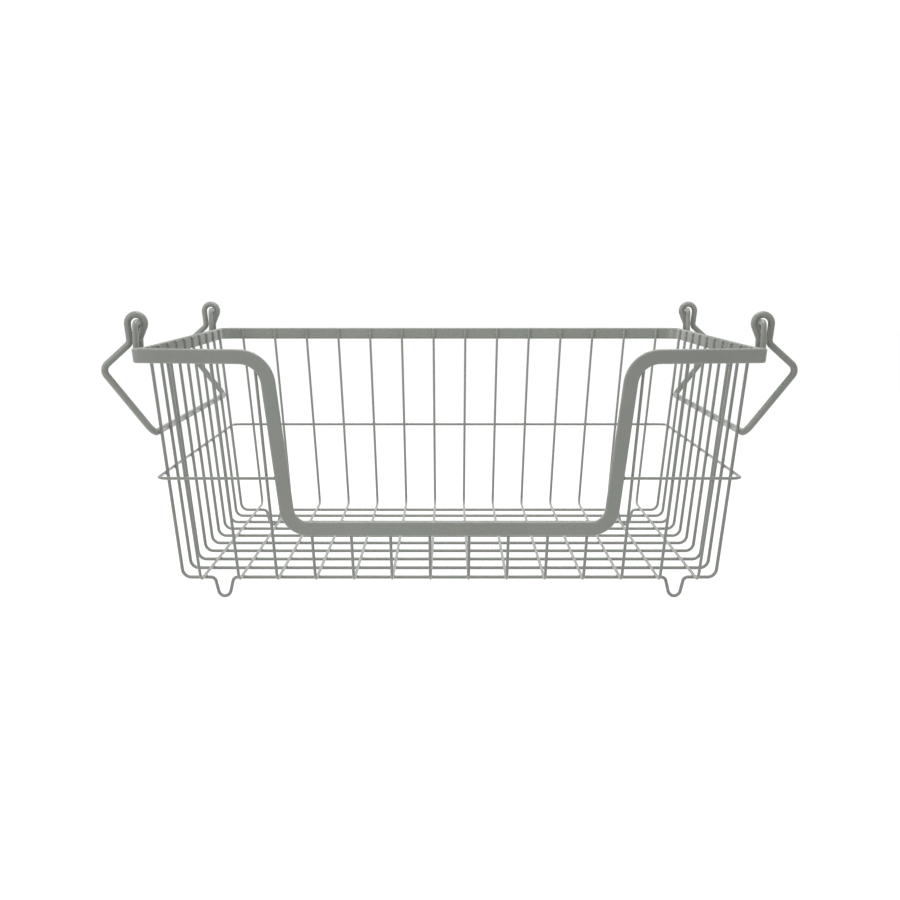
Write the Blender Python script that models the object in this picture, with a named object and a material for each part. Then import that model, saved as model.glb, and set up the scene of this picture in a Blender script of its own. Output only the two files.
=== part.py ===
"""Stackable wire storage basket with a low front lip and two swinging bail handles.

A flat steel bar makes the rim and dips into a lip across the front. Crossing U-shaped
wires hang from it and make the mesh of walls and floor, and one more wire girdles the
walls half way up. A bent rod at each side swings on two staples that are welded to the
rim. Lengths are in metres and angles in degrees. X runs left to right, the front faces
-Y, and the origin is on the ground under the middle of the basket.
"""

import math

import bmesh
import bpy
from mathutils import Vector

# Overall size of the rim, over the outer faces half way up its bar
RIM_LENGTH = 0.4224
RIM_DEPTH = 0.320
RIM_TOP = 0.179
SIDE_LEAN = 6.2
END_LEAN = 4.0

# Flat bar of the rim and of the front lip
BAR_HEIGHT = 0.010
BAR_THICKNESS = 0.003
BAR_EDGE_RADIUS = 0.0009
REAR_CORNER_RADIUS = 0.012
FRONT_CORNER_RADIUS = 0.005
SEAM_SETBACK = 0.0246

# Front lip, sized to the middle line of its bar where its bends would be sharp
LIP_TOP_WIDTH = 0.2478
LIP_BOTTOM_WIDTH = 0.2209
LIP_HEIGHT = 0.0549
LIP_TOP_BEND = 0.020
LIP_BOTTOM_BEND = 0.015

# Mesh wires
WIRE = 0.002
WELD_GAP = 0.0003
WIRE_BEND = 0.0065
WIRE_END_INSET = 0.0004
CROSS_COUNT = 14
CROSS_RIM_MARGIN = 0.0165
CROSS_FLOOR_MARGIN = 0.0164
LONG_COUNT = 10
LONG_RIM_MARGIN = 0.0247
LONG_FLOOR_MARGIN = 0.0182

# Feet, dips in the first and the last long wire
FOOT_DROP = 0.0138
FOOT_SPACING = 0.3208
FOOT_TOP_WIDTH = 0.0134
FOOT_BEND = 0.0044
FOOT_TOP_BEND = 0.0036

# Girdle wire around the walls
GIRDLE_HEIGHT = 0.0904
GIRDLE_CORNER = 0.007

# Staples that carry the handles
STAPLE_ROD = 0.004
STAPLE_SPAN = 0.0147
STAPLE_BEND = 0.0035
STAPLE_RISE = 0.0173
STAPLE_LAP = 0.008

# Bail handles, measured from the pivot: the middle of a staple's top bar
HANDLE_ROD = 0.0048
HANDLE_SIDE_GAP = 0.0010
HANDLE_WALL_GAP = 0.0003
EYE_RADIUS = 0.00595
EYE_OUT = 0.0002
EYE_DROP = 0.0012
EYE_CLOSING_ANGLE = 22.4
EYE_CLOSING_LENGTH = 0.0098
NECK_OUT = 0.0052
NECK_DROP = 0.0144
NECK_BEND = 0.005
ELBOW_OUT = 0.0256
ELBOW_DROP = 0.0325
ELBOW_BEND = 0.006
GRIP_DROP = 0.0770
GRIP_BEND = 0.007

# Fineness of the faceted surfaces
BEND_STEP = 15.0
EDGE_STEPS = 2
WIRE_SIDES = 8
ROD_SIDES = 12
SEARCH_STEP = 0.0002

# Finish: matt sage-grey powder coat over steel
COAT_COLOUR = (0.275, 0.292, 0.262, 1.0)
COAT_ROUGHNESS = 0.5
COAT_METALLIC = 0.0

UP = Vector((0, 0, 1))
SIDEWAYS = Vector((1, 0, 0))
BACKWARDS = Vector((0, 1, 0))

RIM_MIDDLE = RIM_TOP - BAR_HEIGHT * math.cos(math.radians(END_LEAN)) / 2
LONG_HEIGHT = FOOT_DROP + WIRE / 2
CROSS_HEIGHT = LONG_HEIGHT + WIRE + WELD_GAP
WALL_TO_BAR = WIRE / 2 + WELD_GAP + BAR_THICKNESS / 2
WALL_TO_FACE = WALL_TO_BAR + BAR_THICKNESS / 2


def clear_scene():
    """Remove every object that the file holds."""
    for item in list(bpy.data.objects):
        bpy.data.objects.remove(item, do_unlink=True)


def powder_coat(name):
    """Return a matt powder-coat material of its own for one kind of sub-part."""
    material = bpy.data.materials.get(name)
    if material is None:
        material = bpy.data.materials.new(name)
        material.use_nodes = True
        shader = material.node_tree.nodes["Principled BSDF"]
        shader.inputs["Base Color"].default_value = COAT_COLOUR
        shader.inputs["Roughness"].default_value = COAT_ROUGHNESS
        shader.inputs["Metallic"].default_value = COAT_METALLIC
        material.diffuse_color = COAT_COLOUR
    return material


def side_wall(height, proud=0):
    """Distance from the middle to a side wall's wires, or to a surface proud of them."""
    lean = math.radians(SIDE_LEAN)
    at_rim = RIM_LENGTH / 2 - WALL_TO_FACE / math.cos(lean)
    return at_rim - (RIM_MIDDLE - height) * math.tan(lean) + proud / math.cos(lean)


def end_wall(height, proud=0):
    """Distance from the middle to the front or rear wires, or to a surface proud of them."""
    lean = math.radians(END_LEAN)
    at_rim = RIM_DEPTH / 2 - WALL_TO_FACE / math.cos(lean)
    return at_rim - (RIM_MIDDLE - height) * math.tan(lean) + proud / math.cos(lean)


def spread(index, count, half):
    """Place one of a row of wires that is spread evenly between -half and half."""
    return half * (2 * index / (count - 1) - 1)


def rounded(corners, radii):
    """Return the points of a path through the corners, with an arc at each inner corner."""
    points = [corners[0]]
    for before, corner, after, radius in zip(corners, corners[1:], corners[2:], radii):
        back = (before - corner).normalized()
        ahead = (after - corner).normalized()
        turn = math.pi - back.angle(ahead)
        centre = corner + (back + ahead).normalized() * radius / math.cos(turn / 2)
        start = corner + back * radius * math.tan(turn / 2) - centre
        axis = ahead.cross(back).normalized()
        steps = 2 * int(math.degrees(turn) // (2 * BEND_STEP)) + 1
        side = axis.cross(start)
        for step in range(steps + 1):
            angle = turn * step / steps
            points.append(centre + start * math.cos(angle) + side * math.sin(angle))
    points.append(corners[-1])
    return points


def tangents(points):
    """Return the direction of a path at each of its points."""
    ahead = [(b - a).normalized() for a, b in zip(points, points[1:])]
    inner = [(a + b).normalized() for a, b in zip(ahead, ahead[1:])]
    return [ahead[0]] + inner + [ahead[-1]]


def carried_stations(points, middle_side):
    """Carry a side vector from the middle of a path to both ends without any twist."""
    directions = tangents(points)
    middle = len(points) // 2
    sides = [middle_side] * len(points)
    for index in range(middle + 1, len(points)):
        turn = directions[index - 1].rotation_difference(directions[index])
        sides[index] = turn @ sides[index - 1]
    for index in reversed(range(middle)):
        turn = directions[index + 1].rotation_difference(directions[index])
        sides[index] = turn @ sides[index + 1]
    return [(point, side, direction.cross(side))
            for point, side, direction in zip(points, sides, directions)]


def round_section(diameter, sides):
    """Outline of a round rod whose flats, not its corners, lie at the true diameter."""
    radius = diameter / 2 / math.cos(math.pi / sides)
    turns = [2 * math.pi * (index + 1 / 2) / sides for index in range(sides)]
    return [(radius * math.cos(turn), radius * math.sin(turn)) for turn in turns]


def bar_section():
    """Outline of the flat bar: thickness first, height second, with rounded edges."""
    outline = []
    across = BAR_THICKNESS / 2 - BAR_EDGE_RADIUS
    along = BAR_HEIGHT / 2 - BAR_EDGE_RADIUS
    for quarter, (sx, sy) in enumerate(((1, 1), (-1, 1), (-1, -1), (1, -1))):
        for step in range(EDGE_STEPS + 1):
            turn = math.pi / 2 * (quarter + step / EDGE_STEPS)
            outline.append((sx * across + BAR_EDGE_RADIUS * math.cos(turn),
                            sy * along + BAR_EDGE_RADIUS * math.sin(turn)))
    return outline


def loft(name, section, stations, material):
    """Skin a section along stations of (point, first side, second side), with flat ends."""
    build = bmesh.new()
    rings = []
    for point, first, second in stations:
        rings.append([build.verts.new(point + first * a + second * b) for a, b in section])
    for ring, following in zip(rings, rings[1:]):
        for index in range(len(section)):
            turn = (index + 1) % len(section)
            build.faces.new((ring[index], ring[turn], following[turn], following[index]))
    build.faces.new(rings[0])
    build.faces.new(rings[-1])
    bmesh.ops.recalc_face_normals(build, faces=build.faces)
    mesh = bpy.data.meshes.new(name)
    build.to_mesh(mesh)
    build.free()
    mesh.shade_smooth()
    mesh.set_sharp_from_angle(angle=math.radians(3 * BEND_STEP))
    item = bpy.data.objects.new(name, mesh)
    item.data.materials.append(powder_coat(material))
    bpy.context.scene.collection.objects.link(item)
    return item


def bar_station(point, direction, outward):
    """Set the bar's section square to its path, with its thickness along outward."""
    return point, outward, direction.cross(outward)


def leaning_normal(plan_normal):
    """Tilt a level outward direction to the lean of the wall that faces it."""
    lean = math.radians(SIDE_LEAN * plan_normal.x ** 2 + END_LEAN * plan_normal.y ** 2)
    return plan_normal * math.cos(lean) - UP * math.sin(lean)


def level_stations(points):
    """Stations of bar that runs level, leaning with the walls, front-left to front-right."""
    stations = []
    for point, direction in zip(points, tangents(points)):
        plan_normal = UP.cross(direction).normalized()
        stations.append(bar_station(point, direction, leaning_normal(plan_normal)))
    return stations


def bar_side():
    """Distance from the middle to the bar's middle line at a side."""
    return side_wall(RIM_MIDDLE, WALL_TO_BAR)


def bar_end(height):
    """Distance from the middle to the bar's middle surface at the front or the rear."""
    return end_wall(height, WALL_TO_BAR)


def seam_place():
    """Distance from the middle to the seams between the rim band and the front lip."""
    return RIM_DEPTH / 2 - SEAM_SETBACK


def make_rim_band():
    """Round the left side, the rear and the right side with one leaning band."""
    across = bar_side()
    back = bar_end(RIM_MIDDLE)
    front = -seam_place() + WELD_GAP / 2
    corners = [Vector((-across, front, RIM_MIDDLE)), Vector((-across, back, RIM_MIDDLE)),
               Vector((across, back, RIM_MIDDLE)), Vector((across, front, RIM_MIDDLE))]
    radius = REAR_CORNER_RADIUS - BAR_THICKNESS / 2
    points = rounded(corners, [radius, radius])
    loft("rim_band", bar_section(), level_stations(points), "rim_coat")


def lip_corners():
    """Sharp corners of the lip's middle line, from the left bar end to the right one."""
    top = LIP_TOP_WIDTH / 2
    bottom = LIP_BOTTOM_WIDTH / 2
    places = [(-top, RIM_MIDDLE), (-bottom, LIP_HEIGHT), (bottom, LIP_HEIGHT), (top, RIM_MIDDLE)]
    return [Vector((x, -bar_end(z), z)) for x, z in places]


def lip_line():
    """Middle line of the bar across the front, rounded, between the two front corners."""
    turn = FRONT_CORNER_RADIUS - BAR_THICKNESS / 2
    start = Vector((-bar_side() + turn, -bar_end(RIM_MIDDLE), RIM_MIDDLE))
    end = Vector((-start.x, start.y, start.z))
    bends = [LIP_TOP_BEND, LIP_BOTTOM_BEND, LIP_BOTTOM_BEND, LIP_TOP_BEND]
    return rounded([start] + lip_corners() + [end], bends)


def make_front_lip():
    """Turn both front corners and dip across the front in one flat bar."""
    across = bar_side()
    ahead = -bar_end(RIM_MIDDLE)
    seam = -seam_place() - WELD_GAP / 2
    turn = FRONT_CORNER_RADIUS - BAR_THICKNESS / 2
    line = lip_line()
    left = rounded([Vector((-across, seam, RIM_MIDDLE)), Vector((-across, ahead, RIM_MIDDLE)),
                    line[0] + SIDEWAYS * turn], [turn])[:-1]
    right = [Vector((-point.x, point.y, point.z)) for point in reversed(left)]
    face = leaning_normal(-BACKWARDS)
    stations = []
    for point, direction in zip(left, tangents(left)):
        plan_normal = direction.cross(UP).normalized()
        stations.append(bar_station(point, direction, leaning_normal(plan_normal)))
    middle = line[1:-1]
    for point, direction in zip(middle, tangents(line)[1:-1]):
        stations.append(bar_station(point, direction, face))
    for point, direction in zip(right, tangents(right)):
        plan_normal = direction.cross(UP).normalized()
        stations.append(bar_station(point, direction, leaning_normal(plan_normal)))
    loft("front_lip", bar_section(), stations, "lip_coat")


def gap_to_line(point, line):
    """Distance from a point to a path."""
    gaps = []
    for start, end in zip(line, line[1:]):
        along = (point - start).dot(end - start) / (end - start).length_squared
        nearest = start + (end - start) * min(1, max(0, along))
        gaps.append((point - nearest).length)
    return min(gaps)


def front_leg_top(foot, head, line):
    """Find where a front leg, going up, first leaves the cover of the lip's bar."""
    cover = BAR_HEIGHT / 2 - WIRE_END_INSET
    steps = int((head - foot).length / SEARCH_STEP)
    covered = False
    for step in range(steps):
        point = foot + (head - foot) * step / steps
        on_bar = Vector((point.x, -bar_end(point.z), point.z))
        inside = gap_to_line(on_bar, line) < cover
        if covered and not inside:
            return point
        covered = covered or inside
    return head


def make_cross_wires():
    """Bend each front-to-rear wire into a U that lies on the long wires' floor."""
    section = round_section(WIRE, WIRE_SIDES)
    top = RIM_TOP - WIRE_END_INSET
    line = lip_line()
    rim_half = side_wall(RIM_MIDDLE) - CROSS_RIM_MARGIN
    floor_half = side_wall(CROSS_HEIGHT) - CROSS_FLOOR_MARGIN
    depth = end_wall(CROSS_HEIGHT)
    for index in range(CROSS_COUNT):
        at_rim = spread(index, CROSS_COUNT, rim_half)
        at_floor = spread(index, CROSS_COUNT, floor_half)
        front = Vector((at_floor, -depth, CROSS_HEIGHT))
        rear = Vector((at_floor, depth, CROSS_HEIGHT))
        head = Vector((at_rim, -end_wall(top), top))
        tail = Vector((at_rim, end_wall(top), top))
        points = rounded([front_leg_top(front, head, line), front, rear, tail], [WIRE_BEND] * 2)
        loft(f"cross_wire_{index + 1:02d}", section, carried_stations(points, SIDEWAYS), "cross_coat")


def foot_corners(middle):
    """Sharp corners of one foot: the floor line dips to a round toe and comes back up."""
    half = FOOT_TOP_WIDTH / 2
    lean = foot_lean()
    depth = half / math.tan(lean)
    return [(middle - half, LONG_HEIGHT), (middle, LONG_HEIGHT - depth), (middle + half, LONG_HEIGHT)]


def foot_lean():
    """Lean of a foot's sides, so that its round toe ends at the foot's full drop."""
    half = FOOT_TOP_WIDTH / 2
    low, high = 0, math.pi / 2
    for _ in range(64):
        lean = (low + high) / 2
        depth = half / math.tan(lean) if lean else math.inf
        toe = depth - FOOT_BEND * (1 / math.sin(lean) - 1)
        if toe > FOOT_DROP:
            low = lean
        else:
            high = lean
    return lean


def make_long_wires():
    """Bend each left-to-right wire into a U, and give the first and the last their feet."""
    section = round_section(WIRE, WIRE_SIDES)
    top = RIM_TOP - WIRE_END_INSET
    rim_half = end_wall(RIM_MIDDLE) - LONG_RIM_MARGIN
    floor_half = end_wall(LONG_HEIGHT) - LONG_FLOOR_MARGIN
    for index in range(LONG_COUNT):
        at_rim = spread(index, LONG_COUNT, rim_half)
        at_floor = spread(index, LONG_COUNT, floor_half)
        length = side_wall(LONG_HEIGHT)
        places = [(-length, LONG_HEIGHT), (length, LONG_HEIGHT)]
        bends = [WIRE_BEND, WIRE_BEND]
        if index in (0, LONG_COUNT - 1):
            left = foot_corners(-FOOT_SPACING / 2)
            right = foot_corners(FOOT_SPACING / 2)
            places[1:1] = left + right
            bends[1:1] = [FOOT_TOP_BEND, FOOT_BEND, FOOT_TOP_BEND] * 2
        corners = [Vector((x, at_floor, z)) for x, z in places]
        head = Vector((-side_wall(top), at_rim, top))
        tail = Vector((side_wall(top), at_rim, top))
        points = rounded([head] + corners + [tail], bends)
        loft(f"long_wire_{index + 1:02d}", section, carried_stations(points, BACKWARDS), "long_coat")


def lip_side(height):
    """Distance from the middle to the outer edge of the lip's slanting bar."""
    share = (height - LIP_HEIGHT) / (RIM_MIDDLE - LIP_HEIGHT)
    rise = RIM_MIDDLE - LIP_HEIGHT
    run = (LIP_TOP_WIDTH - LIP_BOTTOM_WIDTH) / 2
    middle = LIP_BOTTOM_WIDTH / 2 + run * share
    return middle + BAR_HEIGHT / 2 / math.cos(math.atan2(run, rise))


def make_girdle():
    """Girdle the walls outside the upright wires, from one edge of the lip to the other."""
    proud = WIRE + WELD_GAP
    across = side_wall(GIRDLE_HEIGHT, proud)
    depth = end_wall(GIRDLE_HEIGHT, proud)
    reach = lip_side(GIRDLE_HEIGHT + WIRE / 2) + WELD_GAP
    places = [(-reach, -depth), (-across, -depth), (-across, depth),
              (across, depth), (across, -depth), (reach, -depth)]
    corners = [Vector((x, y, GIRDLE_HEIGHT)) for x, y in places]
    points = rounded(corners, [GIRDLE_CORNER] * 4)
    section = round_section(WIRE, WIRE_SIDES)
    loft("girdle_wire", section, carried_stations(points, UP), "girdle_coat")


def pivot_side():
    """Distance from the middle to the staples, which stand against the band's outer face."""
    proud = WALL_TO_FACE + WELD_GAP + STAPLE_ROD / 2
    return side_wall(RIM_TOP, proud)


def pivot_place():
    """Distance from the middle to a staple's middle, clear of the first upright wire."""
    last_wire = end_wall(RIM_MIDDLE) - LONG_RIM_MARGIN
    return last_wire + WIRE / 2 + HANDLE_SIDE_GAP + HANDLE_ROD / 2


def pivot_height():
    """Height of the pivot, the middle of each staple's top bar."""
    return RIM_TOP + STAPLE_RISE


def make_staples():
    """Stand two staples on the rim at each side, lapped on its outer face."""
    section = round_section(STAPLE_ROD, ROD_SIDES)
    half = STAPLE_SPAN / 2
    foot = RIM_TOP - STAPLE_LAP
    for side, side_name in ((-1, "left"), (1, "right")):
        for end, end_name in ((-1, "front"), (1, "rear")):
            x = side * pivot_side()
            y = end * pivot_place()
            places = [(y - half, foot), (y - half, pivot_height()),
                      (y + half, pivot_height()), (y + half, foot)]
            points = rounded([Vector((x, b, c)) for b, c in places], [STAPLE_BEND] * 2)
            stations = carried_stations(points, SIDEWAYS)
            loft(f"{side_name}_{end_name}_staple", section, stations, "staple_coat")


def eye_line():
    """Middle line of the eye and its neck, as (outward, downward) from the pivot."""
    closing = math.radians(EYE_CLOSING_ANGLE)
    away_out = NECK_OUT - EYE_OUT
    away_down = NECK_DROP - EYE_DROP
    neck = math.atan2(away_down, away_out) - math.acos(EYE_RADIUS / math.hypot(away_out, away_down))
    start = math.pi - closing
    end = 2 * math.pi + neck
    steps = round(math.degrees(end - start) / BEND_STEP)
    line = []
    for step in range(steps + 1):
        turn = start + (end - start) * step / steps
        line.append((EYE_OUT + EYE_RADIUS * math.cos(turn), EYE_DROP + EYE_RADIUS * math.sin(turn)))
    tip_out = line[0][0] + EYE_CLOSING_LENGTH * math.sin(closing)
    tip_down = line[0][1] + EYE_CLOSING_LENGTH * math.cos(closing)
    return [(tip_out, tip_down)] + line


def grip_out():
    """Outward place of the grip, which hangs against the wall's upright wires."""
    height = pivot_height() - GRIP_DROP
    proud = WIRE / 2 + HANDLE_WALL_GAP + HANDLE_ROD / 2
    return side_wall(height, proud) - pivot_side()


def make_handle(side, name):
    """Bend one rod into two hooked legs and a straight grip, pivoting about its staples."""
    pivot = Vector((side * pivot_side(), 0, pivot_height()))
    end = pivot_place()

    def place(out, down, y):
        return Vector((side * out, y, -down))

    leg = [place(out, down, -end) for out, down in eye_line()]
    corners = [leg[-1], place(NECK_OUT, NECK_DROP, -end), place(ELBOW_OUT, ELBOW_DROP, -end),
               place(grip_out(), GRIP_DROP, -end), place(grip_out(), GRIP_DROP, 0)]
    leg += rounded(corners, [NECK_BEND, ELBOW_BEND, GRIP_BEND])[1:]
    other = [Vector((point.x, -point.y, point.z)) for point in reversed(leg[:-1])]
    points = leg + other
    shin = place(grip_out() - ELBOW_OUT, GRIP_DROP - ELBOW_DROP, 0)
    square = shin.cross(BACKWARDS).normalized()
    section = round_section(HANDLE_ROD, ROD_SIDES)
    handle = loft(name, section, carried_stations(points, square), "handle_coat")
    handle.location = pivot
    return handle


def main():
    """Build every sub-part of the basket."""
    clear_scene()
    make_rim_band()
    make_front_lip()
    make_cross_wires()
    make_long_wires()
    make_girdle()
    make_staples()
    make_handle(-1, "left_handle")
    make_handle(1, "right_handle")


main()
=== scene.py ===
"""Looks of a stackable wire storage basket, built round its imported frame.

A flat steel bar makes the rim and dips into a lip across the front, bent wires make the
mesh of walls and floor, and two bail handles swing on staples. Lengths are in metres and
angles in degrees. X runs left to right, the front faces -Y, and the ground is at zero.
"""

from __future__ import annotations

import logging
import math
from collections.abc import Iterable, Sequence
from dataclasses import dataclass
from enum import Enum

import bmesh
import bpy
from mathutils import Matrix, Vector

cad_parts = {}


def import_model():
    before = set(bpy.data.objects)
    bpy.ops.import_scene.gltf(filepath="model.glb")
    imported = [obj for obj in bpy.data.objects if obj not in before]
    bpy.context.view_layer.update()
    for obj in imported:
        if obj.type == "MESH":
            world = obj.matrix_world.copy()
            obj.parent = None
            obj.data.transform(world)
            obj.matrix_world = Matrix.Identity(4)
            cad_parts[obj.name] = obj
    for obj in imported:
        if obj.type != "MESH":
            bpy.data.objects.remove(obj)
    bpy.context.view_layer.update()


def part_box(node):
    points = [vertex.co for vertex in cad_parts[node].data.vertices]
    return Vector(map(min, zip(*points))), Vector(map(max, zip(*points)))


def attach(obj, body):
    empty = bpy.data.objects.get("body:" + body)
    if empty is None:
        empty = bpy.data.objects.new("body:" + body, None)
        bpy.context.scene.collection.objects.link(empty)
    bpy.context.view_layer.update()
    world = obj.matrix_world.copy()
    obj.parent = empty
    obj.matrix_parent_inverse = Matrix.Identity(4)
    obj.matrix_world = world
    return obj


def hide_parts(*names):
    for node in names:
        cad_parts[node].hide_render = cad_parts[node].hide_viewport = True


UP = Vector((0, 0, 1))
SIDEWAYS = Vector((1, 0, 0))
BACKWARDS = Vector((0, 1, 0))
SWAP_SIDES = Vector((-1, 1, 1))
SWAP_ENDS = Vector((1, -1, 1))
ARC_STEP = 7.5
WIRE_SIDES = 16
ROD_SIDES = 24
NOISE_MIDDLE = (0.3, 0.7)
SEAT_PLAY = 0.0004

log = logging.getLogger("basket")

Outline = list[tuple[float, float]]
Station = tuple[Vector, Vector, Vector]
Pair = tuple[float, float]
Colour = tuple[float, float, float]
Paint = tuple[float, float, float, float]
Socket = bpy.types.NodeSocket


class Body(Enum):
    """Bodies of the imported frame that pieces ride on."""

    BASKET = "basket"
    LEFT_BAIL = "left_bail"
    RIGHT_BAIL = "right_bail"


class Ending(Enum):
    """How the end of a swept rod or bar is shaped."""

    DOMED = "domed"
    FLAT = "flat"


class Side(Enum):
    """Left or right half of the basket, as the sign of X."""

    LEFT = -1
    RIGHT = 1

    @property
    def word(self) -> str:
        """Return the side's name in lower case."""
        return self.name.lower()

    @property
    def bail(self) -> Body:
        """Return the body of the handle at this side."""
        return Body.LEFT_BAIL if self is Side.LEFT else Body.RIGHT_BAIL


@dataclass(frozen=True)
class Waves:
    """Cloudy noise: the length of one wave, and its finer layers."""

    size: float
    layers: int
    layer_share: float = 0.55


class ShaderSketch:
    """Node tree of one material or world that is being filled in."""

    def __init__(self, tree: bpy.types.NodeTree) -> None:
        """Start from an empty tree."""
        self.tree = tree
        tree.nodes.clear()

    def node(self, kind: str, **values: object) -> bpy.types.Node:
        """Add a node and set its inputs.

        Args:
            kind: Type name of the node, without the ShaderNode that it begins with.
            **values: Input values by socket name, with spaces written as underscores.

        Returns:
            The new node.
        """
        made = self.tree.nodes.new(f"ShaderNode{kind}")
        for name, value in values.items():
            made.inputs[name.replace("_", " ")].default_value = value
        return made

    def link(self, start: Socket, end: Socket) -> None:
        """Join an output socket to an input socket."""
        self.tree.links.new(start, end)

    def noise(self, place: Socket, waves: Waves) -> Socket:
        """Add cloudy noise.

        Args:
            place: Place on the surface.
            waves: Size and layers of the noise.

        Returns:
            The noise, from 0 to 1.
        """
        cloud = self.node("TexNoise", Scale=1 / waves.size, Detail=waves.layers,
                          Roughness=waves.layer_share)
        self.link(place, cloud.inputs["Vector"])
        return cloud.outputs["Fac"]

    def calculate(self, operation: str, first: Socket, second: Socket) -> Socket:
        """Work on two numbers.

        Args:
            operation: Name of the operation.
            first: First number.
            second: Second number.

        Returns:
            The outcome.
        """
        made = self.node("Math")
        made.operation = operation
        self.link(first, made.inputs[0])
        self.link(second, made.inputs[1])
        return made.outputs["Value"]

    def remap(self, source: Socket, source_range: Pair, target_range: Pair) -> Socket:
        """Map a number from one range onto another and keep it there.

        Args:
            source: The number.
            source_range: Range that it comes from.
            target_range: Range that it goes to.

        Returns:
            The mapped number.
        """
        mapped = self.node("MapRange", From_Min=source_range[0], From_Max=source_range[1],
                           To_Min=target_range[0], To_Max=target_range[1])
        self.link(source, mapped.inputs["Value"])
        return mapped.outputs["Result"]

    def mix(self, factor: Socket, first: Socket | Paint, second: Socket | Paint,
            blend: str = "MIX") -> Socket:
        """Mix two colours.

        Args:
            factor: The second colour's share.
            first: Colour, or the socket that gives it.
            second: Colour, or the socket that gives it.
            blend: Blend type of the mix.

        Returns:
            The mixed colour.
        """
        mixer = self.node("Mix")
        mixer.data_type = "RGBA"
        mixer.blend_type = blend
        # The node has sockets for every data type, and those of colours are 6 and 7 in and 2 out.
        self.link(factor, mixer.inputs[0])
        for colour, socket in ((first, mixer.inputs[6]), (second, mixer.inputs[7])):
            if isinstance(colour, tuple):
                socket.default_value = colour
            else:
                self.link(colour, socket)
        return mixer.outputs[2]

    def bump(self, height: Socket, depth: float, below: Socket | None = None) -> Socket:
        """Raise the surface by a height.

        Args:
            height: Height, from 0 to 1.
            depth: Length that a height of 1 stands for.
            below: Normal of a coarser or finer bump that this one adds to.

        Returns:
            The raised surface's normal.
        """
        raised = self.node("Bump", Strength=1.0, Distance=depth)
        self.link(height, raised.inputs["Height"])
        if below is not None:
            self.link(below, raised.inputs["Normal"])
        return raised.outputs["Normal"]

    def by_ray(self, lighting: Socket, seen: Socket) -> Socket:
        """Tell the rays that should find white behind the basket from those that light it.

        Args:
            lighting: Shader for the rays that light.
            seen: Shader for camera, glossy and transmission rays.

        Returns:
            The chosen shader.
        """
        path = self.node("LightPath")
        found = path.outputs["Is Camera Ray"]
        for name in ("Is Glossy Ray", "Is Transmission Ray"):
            found = self.calculate("MAXIMUM", found, path.outputs[name])
        choice = self.node("MixShader")
        for source, socket in zip((found, lighting, seen), choice.inputs):
            self.link(source, socket)
        return choice.outputs["Shader"]

    def end(self, kind: str, shader: Socket) -> None:
        """Hand a shader to the tree's output node."""
        self.link(shader, self.node(kind).inputs["Surface"])


def start_material(name: str) -> tuple[bpy.types.Material, ShaderSketch]:
    """Begin a material.

    Args:
        name: Name of the material.

    Returns:
        The new material and its empty node tree.
    """
    made = bpy.data.materials.new(name)
    made.use_nodes = True
    return made, ShaderSketch(made.node_tree)


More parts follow.
